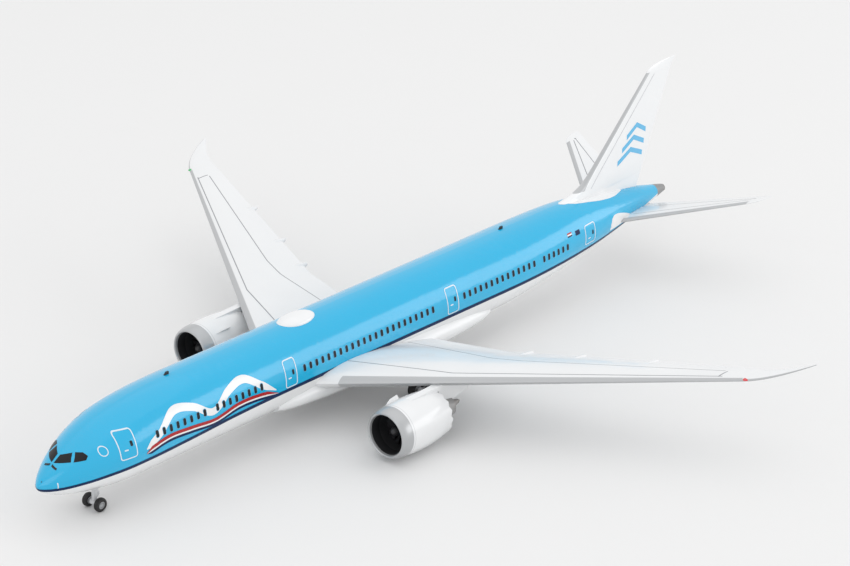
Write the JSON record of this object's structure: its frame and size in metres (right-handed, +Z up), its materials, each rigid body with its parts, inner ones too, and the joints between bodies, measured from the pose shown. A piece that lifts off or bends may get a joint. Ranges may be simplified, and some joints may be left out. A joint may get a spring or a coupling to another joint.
{
  "type": "desktop airliner model",
  "caption": "Die-cast desktop model of a long twin-engine airliner on its landing gear, with rolling wheels, turning fans and a socket for a display stand.",
  "frame": {"origin": "on the ground plane the tyres stand on, below the middle of the model's length and on its centre line", "axes": "+X aft from the nose, +Y to starboard, +Z up"},
  "size_m": [0.3422, 0.304, 0.0816],
  "materials": {
    "blue_paint": "glossy sky-blue enamel on cast metal",
    "white_paint": "glossy white enamel on cast metal",
    "silver_paint": "satin silver enamel",
    "grey_paint": "satin grey enamel",
    "fan_paint": "black moulded fan",
    "steel": "plain drawn steel",
    "black_plastic": "moulded black bush",
    "hub_paint": "silver-grey cast hub",
    "tyre_rubber": "soft black tyre"
  },
  "bodies": {
    "airframe": {"upper_fuselage_shell": "blue_paint", "lower_fuselage_shell": "white_paint", "vertical_fin": "white_paint", "belly_fairing": "white_paint", "left_wing": "white_paint", "right_wing": "white_paint", "left_tailplane": "white_paint", "right_tailplane": "white_paint", "left_nacelle": "white_paint", "right_nacelle": "white_paint", "left_engine_pylon": "white_paint", "right_engine_pylon": "white_paint", "satellite_dome": "white_paint", "nose_gear_leg": "white_paint", "left_main_leg": "white_paint", "right_main_leg": "white_paint", "left_bogie_beam": "white_paint", "right_bogie_beam": "white_paint", "left_inlet_lip": "silver_paint", "right_inlet_lip": "silver_paint", "tail_cone": "grey_paint", "left_core_nozzle": "grey_paint", "right_core_nozzle": "grey_paint", "antenna_blades": "grey_paint", "assembly_screws": "steel", "wing_spar": "steel", "left_fan_shaft": "steel", "right_fan_shaft": "steel", "stand_socket": "black_plastic"},
    "nose_wheels": {"nose_axle": "steel", "nose_left_hub": "hub_paint", "nose_right_hub": "hub_paint", "nose_left_tyre": "tyre_rubber", "nose_right_tyre": "tyre_rubber"},
    "left_front_wheels": {"left_front_axle": "steel", "left_front_left_hub": "hub_paint", "left_front_right_hub": "hub_paint", "left_front_left_tyre": "tyre_rubber", "left_front_right_tyre": "tyre_rubber"},
    "left_rear_wheels": {"left_rear_axle": "steel", "left_rear_left_hub": "hub_paint", "left_rear_right_hub": "hub_paint", "left_rear_left_tyre": "tyre_rubber", "left_rear_right_tyre": "tyre_rubber"},
    "right_front_wheels": {"right_front_axle": "steel", "right_front_left_hub": "hub_paint", "right_front_right_hub": "hub_paint", "right_front_left_tyre": "tyre_rubber", "right_front_right_tyre": "tyre_rubber"},
    "right_rear_wheels": {"right_rear_axle": "steel", "right_rear_left_hub": "hub_paint", "right_rear_right_hub": "hub_paint", "right_rear_left_tyre": "tyre_rubber", "right_rear_right_tyre": "tyre_rubber"},
    "left_fan": {"left_fan_rotor": "fan_paint"},
    "right_fan": {"right_fan_rotor": "fan_paint"}
  },
  "joints": [
    {"name": "nose_wheels_roll", "type": "hinge", "parent": "airframe", "child": "nose_wheels", "pos_m": [-0.1459, 0, 0.00254], "axis": [0, 1, 0], "continuous": true},
    {"name": "left_front_wheels_roll", "type": "hinge", "parent": "airframe", "child": "left_front_wheels", "pos_m": [-0.00695, -0.0245, 0.00343], "axis": [0, 1, 0], "continuous": true},
    {"name": "left_rear_wheels_roll", "type": "hinge", "parent": "airframe", "child": "left_rear_wheels", "pos_m": [0.00065, -0.0245, 0.00343], "axis": [0, 1, 0], "continuous": true},
    {"name": "left_fan_spin", "type": "hinge", "parent": "airframe", "child": "left_fan", "pos_m": [-0.0464, -0.04865, 0.01085], "axis": [1, 0, 0], "continuous": true},
    {"name": "right_front_wheels_roll", "type": "hinge", "parent": "airframe", "child": "right_front_wheels", "pos_m": [-0.00695, 0.0245, 0.00343], "axis": [0, 1, 0], "continuous": true},
    {"name": "right_rear_wheels_roll", "type": "hinge", "parent": "airframe", "child": "right_rear_wheels", "pos_m": [0.00065, 0.0245, 0.00343], "axis": [0, 1, 0], "continuous": true},
    {"name": "right_fan_spin", "type": "hinge", "parent": "airframe", "child": "right_fan", "pos_m": [-0.0464, 0.04865, 0.01085], "axis": [1, 0, 0], "continuous": true}
  ]
}
